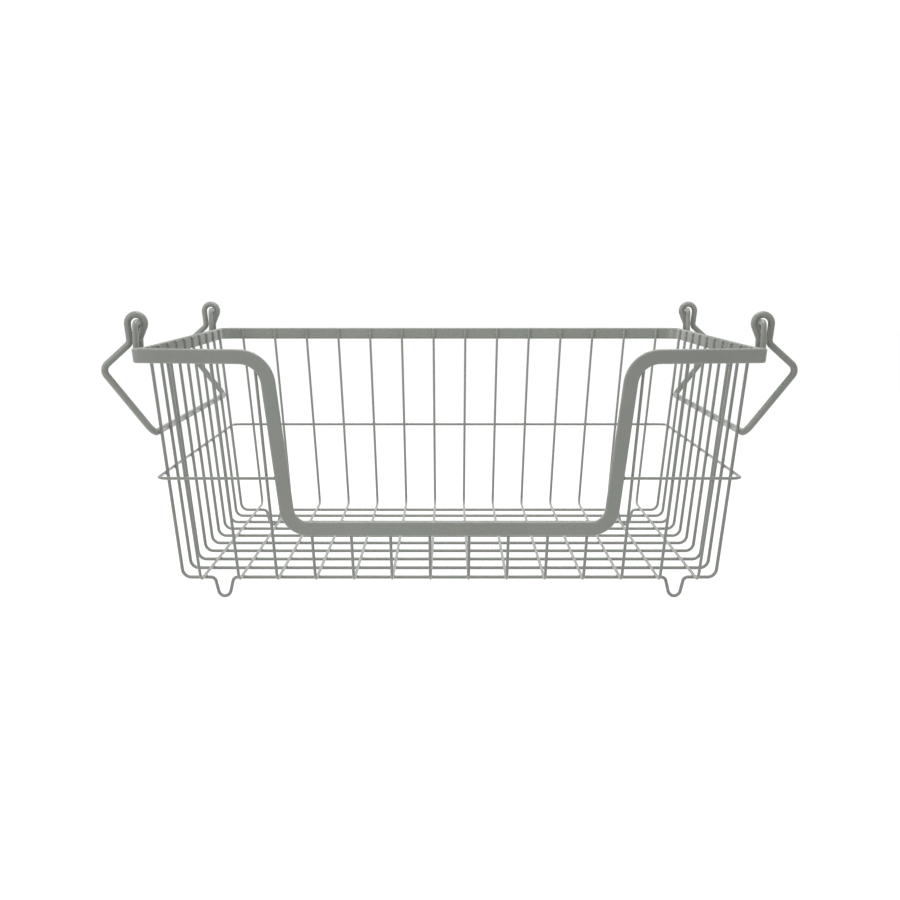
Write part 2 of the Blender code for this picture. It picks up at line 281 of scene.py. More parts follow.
@dataclass(frozen=True)
class PowderCoat:
    """Satin powder coat, slightly cloudy, with the fine waves that it sets with and rubbed edges."""

    colour: Colour = (0.275, 0.289, 0.262)
    cool: Colour = (0.965, 1.012, 1.0)
    warm: Colour = (1.035, 0.998, 0.985)
    tint_waves: Waves = Waves(0.016, 2)
    cloud_waves: Waves = Waves(0.045, 3)
    cloud_share: float = 0.09
    roughness: float = 0.26
    roughness_share: float = 0.04
    patch_waves: Waves = Waves(0.006, 2)
    peel_waves: Waves = Waves(0.0011, 1)
    peel_depth: float = 0.00001
    grain_waves: Waves = Waves(0.00022, 1)
    grain_depth: float = 0.000002
    gloss: float = 0.5
    bloom: float = 0.8
    bloom_roughness: float = 0.4
    worn: Colour = (0.37, 0.38, 0.35)
    wear_range: Pair = (0.505, 0.53)
    wear_waves: Waves = Waves(0.003, 4)
    wear_share: float = 0.4
    wear_polish: float = 0.06

    def tinted(self, tint: Colour) -> Paint:
        """Return the coat's colour under a tint."""
        red, green, blue = (channel * share for channel, share in zip(self.colour, tint))
        return red, green, blue, 1.0

    def wear(self, sketch: ShaderSketch, place: Socket) -> Socket:
        """Find the edges that handling has rubbed, in broken patches.

        Args:
            sketch: The material's tree.
            place: Place on the surface.

        Returns:
            The wear, from 0 to 1.
        """
        pointed = sketch.node("NewGeometry").outputs["Pointiness"]
        edge = sketch.remap(pointed, self.wear_range, (0, 1))
        broken = sketch.remap(sketch.noise(place, self.wear_waves), NOISE_MIDDLE, (0, 1))
        return sketch.calculate("MULTIPLY", edge, broken)

    def paint(self, sketch: ShaderSketch, place: Socket, wear: Socket) -> Socket:
        """Mix the coat's colour from its cool and warm tints, its clouds and its rubbed edges.

        Args:
            sketch: The material's tree.
            place: Place on the surface.
            wear: The wear, from 0 to 1.

        Returns:
            The colour.
        """
        tints = sketch.remap(sketch.noise(place, self.tint_waves), NOISE_MIDDLE, (0, 1))
        tinted = sketch.mix(tints, self.tinted(self.cool), self.tinted(self.warm))
        shade = 1 - self.cloud_share
        clouds = sketch.remap(sketch.noise(place, self.cloud_waves), NOISE_MIDDLE, (0, 1))
        clouded = sketch.mix(clouds, tinted, (shade, shade, shade, 1.0), "MULTIPLY")
        share = sketch.remap(wear, (0, 1), (0, self.wear_share))
        return sketch.mix(share, clouded, (*self.worn, 1.0))

    def sheen(self, sketch: ShaderSketch, place: Socket, wear: Socket) -> Socket:
        """Vary the roughness in patches, and polish the rubbed edges.

        Args:
            sketch: The material's tree.
            place: Place on the surface.
            wear: The wear, from 0 to 1.

        Returns:
            The roughness.
        """
        limits = (self.roughness - self.roughness_share, self.roughness + self.roughness_share)
        patches = sketch.remap(sketch.noise(place, self.patch_waves), NOISE_MIDDLE, limits)
        return sketch.calculate("ADD", patches, sketch.remap(wear, (0, 1), (0, -self.wear_polish)))

    def material(self, name: str) -> bpy.types.Material:
        """Build the coat as a material.

        Args:
            name: Name of the material.

        Returns:
            The new material.
        """
        made, sketch = start_material(name)
        made.diffuse_color = (*self.colour, 1.0)
        place = sketch.node("TexCoord").outputs["Object"]
        wear = self.wear(sketch, place)
        grain = sketch.bump(sketch.noise(place, self.grain_waves), self.grain_depth)
        peel = sketch.bump(sketch.noise(place, self.peel_waves), self.peel_depth, grain)
        shader = sketch.node("BsdfPrincipled", Metallic=0.0, Specular_IOR_Level=self.gloss,
                             Sheen_Weight=self.bloom, Sheen_Roughness=self.bloom_roughness)
        sketch.link(self.paint(sketch, place, wear), shader.inputs["Base Color"])
        sketch.link(self.sheen(sketch, place, wear), shader.inputs["Roughness"])
        sketch.link(peel, shader.inputs["Normal"])
        sketch.end("OutputMaterial", shader.outputs["BSDF"])
        return made


@dataclass(frozen=True)
class StudioFloor:
    """Pale floor that the camera sees as white, with the shadow left on it."""

    colour: Colour = (0.88, 0.88, 0.88)
    glow: float = 0.88
    shade_colour: Colour = (0.30, 0.30, 0.30)

    def material(self, name: str) -> bpy.types.Material:
        """Build the floor's surface as a material.

        Args:
            name: Name of the material.

        Returns:
            The new material.
        """
        made, sketch = start_material(name)
        plain = sketch.node("BsdfDiffuse", Color=(*self.colour, 1.0))
        bright = sketch.node("Emission", Strength=self.glow)
        shaded = sketch.node("BsdfDiffuse", Color=(*self.shade_colour, 1.0))
        seen = sketch.node("AddShader")
        sketch.link(bright.outputs["Emission"], seen.inputs[0])
        sketch.link(shaded.outputs["BSDF"], seen.inputs[1])
        chosen = sketch.by_ray(plain.outputs["BSDF"], seen.outputs["Shader"])
        sketch.end("OutputMaterial", chosen)
        return made


@dataclass
class Route:
    """Middle line of a bent rod or bar: straight runs joined by arcs."""

    points: list[Vector]

    @classmethod
    def bent(cls, corners: Sequence[Vector], radii: Sequence[float], step: float = ARC_STEP) -> Route:
        """Round the inner corners of a path.

        Args:
            corners: Sharp corners, with both ends.
            radii: Radius of the arc at each inner corner.
            step: Largest turn between two points of an arc.

        Returns:
            The rounded route.
        """
        points = [corners[0]]
        for before, corner, after, radius in zip(corners, corners[1:], corners[2:], radii):
            back = (before - corner).normalized()
            ahead = (after - corner).normalized()
            turn = math.pi - back.angle(ahead)
            centre = corner + (back + ahead).normalized() * radius / math.cos(turn / 2)
            start = corner + back * radius * math.tan(turn / 2) - centre
            side = ahead.cross(back).normalized().cross(start)
            count = max(2, math.ceil(math.degrees(turn) / step))
            for index in range(count + 1):
                angle = turn * index / count
                points.append(centre + start * math.cos(angle) + side * math.sin(angle))
        points.append(corners[-1])
        return cls(points)

    def directions(self) -> list[Vector]:
        """Find where the route heads.

        Returns:
            The direction at each of its points.
        """
        ahead = [(b - a).normalized() for a, b in zip(self.points, self.points[1:])]
        inner = [(a + b).normalized() for a, b in zip(ahead, ahead[1:])]
        return [ahead[0], *inner, ahead[-1]]

    def steps(self) -> list[tuple[Vector, Vector]]:
        """Return each point of the route with the direction there."""
        return list(zip(self.points, self.directions()))

    def stations(self, middle_side: Vector) -> list[Station]:
        """Carry a side vector from the middle of the route to both ends without a twist.

        Args:
            middle_side: Side vector at the middle point, square to the route there.

        Returns:
            A point and two side vectors for each point of the route.
        """
        directions = self.directions()
        count = len(directions)
        middle = count // 2
        sides = [middle_side] * count
        order = [(index, index - 1) for index in range(middle + 1, count)]
        order += [(index, index + 1) for index in reversed(range(middle))]
        for index, known in order:
            sides[index] = directions[known].rotation_difference(directions[index]) @ sides[known]
        return [(point, side, direction.cross(side))
                for point, side, direction in zip(self.points, sides, directions)]

    def gap_to(self, point: Vector) -> float:
        """Measure how far a point lies from the route.

        Args:
            point: The point.

        Returns:
            The shortest distance.
        """
        gaps = []
        for start, end in zip(self.points, self.points[1:]):
            along = (point - start).dot(end - start) / (end - start).length_squared
            gaps.append((point - start.lerp(end, min(1, max(0, along)))).length)
        return min(gaps)


@dataclass(frozen=True)
class BarSection:
    """Section of the flat bar, with its rolled edges."""

    thickness: float = 0.003
    height: float = 0.010
    edge_radius: float = 0.0013
    edge_steps: int = 5
    edge_hold: float = 0.00012

    def outline(self) -> Outline:
        """Trace the section, thickness first and height second.

        Returns:
            The outline, with close pairs of points that keep the flats flat.
        """
        across = self.thickness / 2 - self.edge_radius
        along = self.height / 2 - self.edge_radius
        outline = []
        for quarter, (sx, sy) in enumerate(((1, 1), (-1, 1), (-1, -1), (1, -1))):
            turns = [math.pi / 2 * (quarter + step / self.edge_steps)
                     for step in range(self.edge_steps + 1)]
            arc = [(sx * across + self.edge_radius * math.cos(turn),
                    sy * along + self.edge_radius * math.sin(turn)) for turn in turns]
            before = math.pi / 2 * (quarter - 1)
            beyond = math.pi / 2 * (quarter + 2)
            outline.append((arc[0][0] + self.edge_hold * math.cos(before),
                            arc[0][1] + self.edge_hold * math.sin(before)))
            outline += arc
            outline.append((arc[-1][0] + self.edge_hold * math.cos(beyond),
                            arc[-1][1] + self.edge_hold * math.sin(beyond)))
        return outline


def round_turns(count: int) -> list[float]:
    """Return the angles of points that stand evenly round a circle."""
    return [2 * math.pi * index / count for index in range(count)]


@dataclass(frozen=True)
class Dome:
    """Rounded end of a sheared and coated rod, as shares of the rod's half thickness."""

    depth_share: float = 0.5
    hold_share: float = 0.12
    steps: int = 4

    def rings(self, station: Station, outward: Vector, outline: Outline) -> list[list[Vector]]:
        """Close one end of a rod.

        Args:
            station: Point and side vectors of the rod's end.
            outward: Direction out of the rod at that end.
            outline: The rod's section.

        Returns:
            Rings of points from the rod towards its tip, the last one a single point.
        """
        point, first, second = station
        radius = max(math.hypot(a, b) for a, b in outline)
        depth = radius * self.depth_share
        base = point - outward * depth
        hold = base - outward * radius * self.hold_share
        rings = [[hold + first * a + second * b for a, b in outline]]
        for step in range(self.steps):
            turn = math.pi / 2 * step / self.steps
            centre = base + outward * depth * math.sin(turn)
            scale = math.cos(turn)
            rings.append([centre + (first * a + second * b) * scale for a, b in outline])
        rings.append([point])
        return rings


def put_in_scene(name: str, data: bpy.types.ID) -> bpy.types.Object:
    """Make an object of a mesh, a lamp or a camera, and add it to the scene.

    Args:
        name: Name of the object.
        data: What it shows.

    Returns:
        The new object.
    """
    made = bpy.data.objects.new(name, data)
    bpy.context.scene.collection.objects.link(made)
    return made


class Shaper:
    """One mesh that is being built from swept sections and weld beads."""

    dome: Dome = Dome()
    bead_sides: int = 12
    bead_rows: int = 6

    def __init__(self) -> None:
        """Start with an empty mesh."""
        self.build = bmesh.new()

    def ring(self, points: Iterable[Vector]) -> list[bmesh.types.BMVert]:
        """Add a ring of vertices."""
        return [self.build.verts.new(point) for point in points]

    def bridge(self, rings: Sequence[list[bmesh.types.BMVert]]) -> None:
        """Skin the stretches between rings, of which the ends may be single points.

        Args:
            rings: Rings of vertices, in order.
        """
        for ring, following in zip(rings, rings[1:]):
            count = max(len(ring), len(following))
            for index in range(count):
                turn = (index + 1) % count
                corners = [ring[index % len(ring)], ring[turn % len(ring)],
                           following[turn % len(following)], following[index % len(following)]]
                self.build.faces.new(list(dict.fromkeys(corners)))

    def sweep(self, stations: Sequence[Station], outline: Outline, ending: Ending) -> None:
        """Carry a section along its stations and close both ends.

        Args:
            stations: Point and two side vectors for each place along the way.
            outline: The section.
            ending: How both ends are shaped.
        """
        rings = [[point + first * a + second * b for a, b in outline]
                 for point, first, second in stations]
        if ending is Ending.DOMED:
            start = (stations[0][0] - stations[1][0]).normalized()
            end = (stations[-1][0] - stations[-2][0]).normalized()
            head = self.dome.rings(stations[0], start, outline)
            tail = self.dome.rings(stations[-1], end, outline)
            rings = head[::-1] + rings[1:-1] + tail
        made = [self.ring(ring) for ring in rings]
        self.bridge(made)
        if ending is Ending.FLAT:
            self.build.faces.new(made[0])
            self.build.faces.new(made[-1])

    def bead(self, centre: Vector, axes: Sequence[Vector]) -> None:
        """Add one weld bead as a smooth pebble.

        Args:
            centre: Middle of the bead.
            axes: Three half axes, as vectors, the last one from pole to pole.
        """
        first, second, pole = axes
        rings = [self.ring([centre - pole])]
        for row in range(1, self.bead_rows):
            turn = math.pi * row / self.bead_rows
            level = centre - pole * math.cos(turn)
            rings.append(self.ring(
                level + (first * math.cos(angle) + second * math.sin(angle)) * math.sin(turn)
                for angle in round_turns(self.bead_sides)))
        rings.append(self.ring([centre + pole]))
        self.bridge(rings)

    def finish(self, name: str, material: bpy.types.Material, slot: str, replaced: str | None = None,
               body: Body = Body.BASKET, stray: float = SEAT_PLAY) -> None:
        """Turn the mesh into a dressed piece that rides on a body.

        Args:
            name: Name of the piece.
            material: Its finish.
            slot: The record's material slot; not used.
            replaced: The frame's node that it stands for.
            body: The body that it rides on.
            stray: Largest difference between the boxes of the piece and the node.
        """
        bmesh.ops.recalc_face_normals(self.build, faces=self.build.faces)
        mesh = bpy.data.meshes.new(name)
        self.build.to_mesh(mesh)
        self.build.free()
        mesh.shade_smooth()
        mesh.materials.append(material)
        piece = put_in_scene(name, mesh)
        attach(piece, body.value)
        if replaced:
            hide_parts(replaced)
            check_seat(piece, replaced, stray)
        log.info("%s: %d faces on %s", name, len(mesh.polygons), body.value)


def check_seat(piece: bpy.types.Object, node: str, allowed: float) -> None:
    """Warn if a piece strays from the node that it stands for.

    Args:
        piece: The visible piece.
        node: Name of the frame's node.
        allowed: Largest difference between their boxes.
    """
    low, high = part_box(node)
    places = [vertex.co for vertex in piece.data.vertices]
    off = max(max(abs(min(p[axis] for p in places) - low[axis]),
                  abs(max(p[axis] for p in places) - high[axis])) for axis in range(3))
    if off > allowed:
        log.warning("%s is %.2f mm off %s", piece.name, off * 1000, node)


@dataclass(frozen=True)
class Rod:
    """Bent wire or rod with domed ends, and the side vector at the middle of its line."""

    route: Route
    side: Vector
    diameter: float
    sides: int = WIRE_SIDES

    def build(self, name: str, material: bpy.types.Material, slot: str, replaced: str,
              body: Body = Body.BASKET) -> None:
        """Make the rod.

        Args:
            name: Name of the piece.
            material: Its finish.
            slot: The record's material slot.
            replaced: The frame's node that it stands for.
            body: The body that it rides on.
        """
        radius = self.diameter / 2
        outline = [(radius * math.cos(turn), radius * math.sin(turn))
                   for turn in round_turns(self.sides)]
        shaper = Shaper()
        shaper.sweep(self.route.stations(self.side), outline, Ending.DOMED)
        shaper.finish(name, material, slot, replaced, body)


@dataclass(frozen=True)
class Walls:
    """Leaning walls of wire, worked out from the rim's size and two leans."""

    rim_length: float = 0.4224
    rim_depth: float = 0.320
    rim_top: float = 0.179
    side_lean: float = 6.2
    end_lean: float = 4.0
    wire: float = 0.002
    weld_gap: float = 0.0003
    floor_drop: float = 0.0138
    bar: BarSection = BarSection()

    @property
    def rim_middle(self) -> float:
        """Height of the middle line of the rim's bar."""
        return self.rim_top - self.bar.height * math.cos(math.radians(self.end_lean)) / 2

    @property
    def long_height(self) -> float:
        """Height of the long wires' middle line in the floor."""
        return self.floor_drop + self.wire / 2

    @property
    def cross_height(self) -> float:
        """Height of the cross wires' middle line in the floor."""
        return self.long_height + self.wire + self.weld_gap

    @property
    def to_bar(self) -> float:
        """Distance from the wires' middle to the middle of the bar outside them."""
        return self.wire / 2 + self.weld_gap + self.bar.thickness / 2

    @property
    def to_face(self) -> float:
        """Distance from the wires' middle to the bar's outer face."""
        return self.to_bar + self.bar.thickness / 2

    def reach(self, half: float, lean: float, height: float, proud: float) -> float:
        """Measure from the middle to a leaning wall, or to a surface proud of it.

        Args:
            half: Half the rim's size that way, over the bar's outer faces.
            lean: The wall's lean.
            height: Height above the ground.
            proud: Distance outside the wires' middle.

        Returns:
            The distance.
        """
        turn = math.radians(lean)
        run = (self.rim_middle - height) * math.tan(turn)
        return half - self.to_face / math.cos(turn) - run + proud / math.cos(turn)

    def side(self, height: float, proud: float = 0) -> float:
        """Distance from the middle to a side wall, or to a surface proud of it."""
        return self.reach(self.rim_length / 2, self.side_lean, height, proud)

    def end(self, height: float, proud: float = 0) -> float:
        """Distance from the middle to the front or rear wall, or to a surface proud of it."""
        return self.reach(self.rim_depth / 2, self.end_lean, height, proud)

    def normal(self, level: Vector) -> Vector:
        """Tilt a level outward direction to the lean of the wall that faces it."""
        lean = math.radians(self.side_lean * level.x ** 2 + self.end_lean * level.y ** 2)
        return level * math.cos(lean) - UP * math.sin(lean)

    def rise(self, level: Vector) -> Vector:
        """Return the direction up along the wall that faces a level outward direction."""
        normal = self.normal(level)
        return (UP - normal * normal.z).normalized()


def spread_row(count: int, floor_half: float, rim_half: float) -> list[Pair]:
    """Spread wires evenly, and return each one's place at the floor and at the rim."""
    shares = [2 * index / (count - 1) - 1 for index in range(count)]
    return [(floor_half * share, rim_half * share) for share in shares]


def mirrored(points: Iterable[Vector], signs: Vector) -> list[Vector]:
    """Return points mirrored by the signs of their axes, in reverse order."""
    return [point * signs for point in points][::-1]


def bar_station(point: Vector, direction: Vector, outward: Vector) -> Station:
    """Set the bar's section square to its line, with its thickness along outward."""
    return point, outward, direction.cross(outward)


@dataclass
class Rim:
    """Flat bar round the top: a band on three sides and the dipped lip in front."""

    walls: Walls
    coat: PowderCoat
    rear_corner: float = 0.012
    front_corner: float = 0.005
    seam_setback: float = 0.0246
    lip_top_width: float = 0.2478
    lip_bottom_width: float = 0.2209
    lip_height: float = 0.0549
    lip_top_bend: float = 0.020
    lip_bottom_bend: float = 0.015
    lip_arc_step: float = 5.0
    seam_width: float = 0.0022
    seam_proud: float = 0.00012
    seam_steps: int = 10
    corner_flare: float = 0.0018
    corner_rise: float = 0.0006
    side_steps: int = 8

    def bar_side(self) -> float:
        """Distance from the middle to the bar's middle line at a side."""
        return self.walls.side(self.walls.rim_middle, self.walls.to_bar)

    def bar_end(self, height: float) -> float:
        """Distance from the middle to the bar's middle surface at front or rear."""
        return self.walls.end(height, self.walls.to_bar)

    def seam(self) -> float:
        """Return how far in front of the middle the band's ends meet the lip's bar."""
        return self.walls.rim_depth / 2 - self.seam_setback

    def front_turn(self) -> float:
        """Return the radius of the bar's middle line round a front corner."""
        return self.front_corner - self.walls.bar.thickness / 2

    def lip_line(self) -> Route:
        """Lay the bar across the front.

        Returns:
            The bar's middle line between the front corners.
        """
        top = self.lip_top_width / 2
        bottom = self.lip_bottom_width / 2
        high = self.walls.rim_middle
        start = Vector((-self.bar_side() + self.front_turn(), -self.bar_end(high), high))
        places = [(-top, high), (-bottom, self.lip_height), (bottom, self.lip_height), (top, high)]
        corners = [Vector((x, -self.bar_end(z), z)) for x, z in places]
        bends = [self.lip_top_bend, self.lip_bottom_bend, self.lip_bottom_bend, self.lip_top_bend]
        return Route.bent([start, *corners, start * SWAP_SIDES], bends, self.lip_arc_step)

    def corner_line(self) -> Route:
        """Lay the bar from the left seam through the front-left corner.

        Returns:
            The bar's middle line, with the run along the side cut into short steps.
        """
        high = self.walls.rim_middle
        across = self.bar_side()
        ahead = -self.bar_end(high)
        turn = self.front_turn()
        corners = [Vector((-across, -self.seam(), high)), Vector((-across, ahead, high)),
                   Vector((-across + 2 * turn, ahead, high))]
        points = Route.bent(corners, [turn]).points
        run = [points[0].lerp(points[1], step / self.side_steps) for step in range(self.side_steps)]
        return Route(run + points[1:])

    def sprung(self, point: Vector) -> Vector:
        """Move a point of the lip's left arm or corner as the corner has sprung, out and up.

        Args:
            point: Point of the bar's middle line, between the seam and the front.

        Returns:
            The moved point, which stays where it is at the seam.
        """
        corner = self.bar_end(self.walls.rim_middle) - self.front_corner
        share = min(1.0, (-point.y - self.seam()) / (corner - self.seam()))
        return point + UP * self.corner_rise * share - SIDEWAYS * self.corner_flare * share ** 2

    def build_band(self) -> None:
        """Make the band round the left side, the rear and the right side."""
        walls = self.walls
        across = self.bar_side()
        back = self.bar_end(walls.rim_middle)
        places = [(-across, -self.seam()), (-across, back), (across, back), (across, -self.seam())]
        radius = self.rear_corner - walls.bar.thickness / 2
        route = Route.bent([Vector((x, y, walls.rim_middle)) for x, y in places], [radius, radius])
        stations = [bar_station(point, direction, walls.normal(UP.cross(direction).normalized()))
                    for point, direction in route.steps()]
        shaper = Shaper()
        shaper.sweep(stations, walls.bar.outline(), Ending.FLAT)
        shaper.finish("rim_bar", self.coat.material("rim_coat_satin"), "rim_coat", "rim_band")

    def build_lip(self) -> None:
        """Make the bar that turns both front corners and dips across the front."""
        walls = self.walls
        left = [bar_station(self.sprung(point), direction,
                            walls.normal(direction.cross(UP).normalized()))
                for point, direction in self.corner_line().steps()[:-1]]
        face = walls.normal(-BACKWARDS)
        middle = [bar_station(point, direction, face)
                  for point, direction in self.lip_line().steps()[1:-1]]
        right = [tuple(part * SWAP_SIDES for part in station) for station in reversed(left)]
        shaper = Shaper()
        shaper.sweep(left + middle + right, walls.bar.outline(), Ending.FLAT)
        shaper.finish("lip_bar", self.coat.material("lip_coat_satin"), "lip_coat", "front_lip",
                      stray=self.corner_flare + self.corner_rise)

    def build_seams(self) -> None:
        """Make the low beads of the two butt welds between the band and the lip's bar."""
        bar = self.walls.bar
        shaper = Shaper()
        for side in Side:
            outward = self.walls.normal(SIDEWAYS * side.value)
            rise = BACKWARDS.cross(outward)
            stations = []
            for step in range(self.seam_steps + 1):
                share = 2 * step / self.seam_steps - 1
                proud = self.seam_proud * (1 + math.cos(math.pi * share))
                point = Vector((side.value * self.bar_side(),
                                -self.seam() + self.seam_width / 2 * share, self.walls.rim_middle))
                stations.append((point, outward * (1 + proud / bar.thickness),
                                 rise * (1 + proud / bar.height)))
            shaper.sweep(stations, bar.outline(), Ending.FLAT)
        shaper.finish("rim_seams", self.coat.material("seam_coat_satin"), "rim_coat")

    def build(self) -> None:
        """Make every piece of the rim."""
        self.build_band()
        self.build_lip()
        self.build_seams()


@dataclass(frozen=True)
class Leg:
    """Upright leg: its wall's level direction, its places at floor and rim, and its top's height."""

    level: Vector
    floor: float
    rim: float
    top: float


@dataclass
class WireMesh:
    """Bent wires of the walls and the floor, with the feet and the girdle."""

    rim: Rim
    coat: PowderCoat
    bend: float = 0.0065
    end_inset: float = 0.0004
    coated_long: float = 0.0024
    coated_cross: float = 0.0021
    cross_count: int = 14
    cross_rim_margin: float = 0.0165
    cross_floor_margin: float = 0.0164
    long_count: int = 10
    long_rim_margin: float = 0.0247
    long_floor_margin: float = 0.0182
    foot_drop: float = 0.0136
    foot_spacing: float = 0.3208
    foot_top_width: float = 0.0134
    foot_bend: float = 0.0044
    foot_top_bend: float = 0.0036
    girdle_height: float = 0.0904
    girdle_corner: float = 0.007
    search_step: float = 0.0002
    search_halvings: int = 64

    @property
    def walls(self) -> Walls:
        """Return the walls that the wires follow."""
        return self.rim.walls

    @property
    def head(self) -> float:
        """Return the height at which the wires end behind the rim."""
        return self.walls.rim_top - self.end_inset

    def cross_row(self) -> list[Pair]:
        """Place the cross wires across the basket.

        Returns:
            Each wire's place at the floor and at the rim.
        """
        walls = self.walls
        floor_half = walls.side(walls.cross_height) - self.cross_floor_margin
        rim_half = walls.side(walls.rim_middle) - self.cross_rim_margin
        return spread_row(self.cross_count, floor_half, rim_half)

    def long_row(self) -> list[Pair]:
        """Place the long wires along the depth.

        Returns:
            Each wire's place at the floor and at the rim.
        """
        walls = self.walls
        floor_half = walls.end(walls.long_height) - self.long_floor_margin
        rim_half = walls.end(walls.rim_middle) - self.long_rim_margin
        return spread_row(self.long_count, floor_half, rim_half)

    def front_top(self, foot: Vector, head: Vector, line: Route) -> Vector:
        """Find where a front leg, going up, first leaves the cover of the lip's bar.

        Args:
            foot: Low end of the leg.
            head: High end of the leg, behind the rim's top.
            line: Middle line of the lip's bar.

        Returns:
            The leg's upper end.
        """
        cover = self.walls.bar.height / 2 - self.end_inset
        steps = int((head - foot).length / self.search_step)
        covered = False
        for step in range(steps):
            point = foot.lerp(head, step / steps)
            on_bar = Vector((point.x, -self.rim.bar_end(point.z), point.z))
            inside = line.gap_to(on_bar) < cover
            if covered and not inside:
                return point
            covered = covered or inside
        return head

    def cross_corners(self, places: Pair, line: Route) -> list[Vector]:
        """Lay one cross wire.

        Args:
            places: The wire's place at the floor and at the rim.
            line: Middle line of the lip's bar.

        Returns:
            The wire's corners, from its front end to its rear end.
        """
        walls = self.walls
        floor, rim = places
        rear = Vector((floor, walls.end(walls.cross_height), walls.cross_height))
        tail = Vector((rim, walls.end(self.head), self.head))
        front, head = rear * SWAP_ENDS, tail * SWAP_ENDS
        return [self.front_top(front, head, line), front, rear, tail]

    def foot_lean(self) -> float:
        """Search for the lean of a foot's sides that ends its round toe at the full drop.

        Returns:
            The lean, as an angle in radians.
        """
        half = self.foot_top_width / 2
        low, high = 0.0, math.pi / 2
        for _ in range(self.search_halvings):
            lean = (low + high) / 2
            toe = half / math.tan(lean) - self.foot_bend * (1 / math.sin(lean) - 1)
            low, high = (lean, high) if toe > self.foot_drop else (low, lean)
        return lean

    def foot_places(self, middle: float) -> list[Pair]:
        """Lay one foot.

        Args:
            middle: The foot's place across the basket.

        Returns:
            The foot's three sharp corners, as width and height.
        """
        half = self.foot_top_width / 2
        level = self.walls.long_height
        toe = level - half / math.tan(self.foot_lean())
        return [(middle - half, level), (middle, toe), (middle + half, level)]

    def long_route(self, places: Pair, footed: bool) -> Route:
        """Lay one long wire.

        Args:
            places: The wire's place at the floor and at the rim.
            footed: Whether the wire has two feet.

        Returns:
            The wire's middle line.
        """
        walls = self.walls
        floor, rim = places
        length = walls.side(walls.long_height)
        line = [(-length, walls.long_height), (length, walls.long_height)]
        bends = [self.bend, self.bend]
        if footed:
            half = self.foot_spacing / 2
            line[1:1] = self.foot_places(-half) + self.foot_places(half)
            bends[1:1] = [self.foot_top_bend, self.foot_bend, self.foot_top_bend] * 2
        head = Vector((-walls.side(self.head), rim, self.head))
        corners = [Vector((x, floor, z)) for x, z in line]
        return Route.bent([head, *corners, head * SWAP_SIDES], bends)

    def build_cross_wires(self) -> None:
        """Make the wires that run from front to rear."""
        material = self.coat.material("cross_coat_satin")
        line = self.rim.lip_line()
        for number, places in enumerate(self.cross_row(), 1):
            route = Route.bent(self.cross_corners(places, line), [self.bend] * 2)
            Rod(route, SIDEWAYS, self.coated_cross).build(
                f"cross_rod_{number:02d}", material, "cross_coat", f"cross_wire_{number:02d}")

    def build_long_wires(self) -> None:
        """Make the wires that run from side to side, the first and the last with feet."""
        material = self.coat.material("long_coat_satin")
        for number, places in enumerate(self.long_row(), 1):
            route = self.long_route(places, number in (1, self.long_count))
            Rod(route, BACKWARDS, self.coated_long).build(
                f"long_rod_{number:02d}", material, "long_coat", f"long_wire_{number:02d}")

    def lip_edge(self, height: float) -> float:
        """Measure from the middle to the outer edge of the lip's slanting bar.

        Args:
            height: Height above the ground.

        Returns:
            The distance.
        """
        rim = self.rim
        rise = self.walls.rim_middle - rim.lip_height
        run = (rim.lip_top_width - rim.lip_bottom_width) / 2
        middle = rim.lip_bottom_width / 2 + run * (height - rim.lip_height) / rise
        return middle + self.walls.bar.height / 2 / math.cos(math.atan2(run, rise))

    def girdle_reach(self) -> float:
        """Distance from the middle to the girdle's ends, at the lip's slanting bars."""
        return self.lip_edge(self.girdle_height + self.walls.wire / 2) + self.walls.weld_gap

    def build_girdle(self) -> None:
        """Make the wire round the outside of the walls."""
        proud = self.walls.wire + self.walls.weld_gap
        across = self.walls.side(self.girdle_height, proud)
        depth = self.walls.end(self.girdle_height, proud)
        reach = self.girdle_reach()
        places = [(-reach, -depth), (-across, -depth), (-across, depth),
                  (across, depth), (across, -depth), (reach, -depth)]
        corners = [Vector((x, y, self.girdle_height)) for x, y in places]
        route = Route.bent(corners, [self.girdle_corner] * 4)
        Rod(route, UP, self.coated_cross).build(
            "girdle_rod", self.coat.material("girdle_coat_satin"), "girdle_coat", "girdle_wire")

    def legs(self) -> list[Leg]:
        """List the upright legs of all wires.

        Returns:
            The legs of the cross wires, then those of the long wires.
        """
        line = self.rim.lip_line()
        legs = []
        for places in self.cross_row():
            top = self.cross_corners(places, line)[0].z
            legs += [Leg(BACKWARDS, *places, self.head), Leg(-BACKWARDS, *places, top)]
        for places in self.long_row():
            legs += [Leg(SIDEWAYS, *places, self.head), Leg(-SIDEWAYS, *places, self.head)]
        return legs

    def build(self) -> None:
        """Make every wire."""
        self.build_cross_wires()
        self.build_long_wires()
        self.build_girdle()


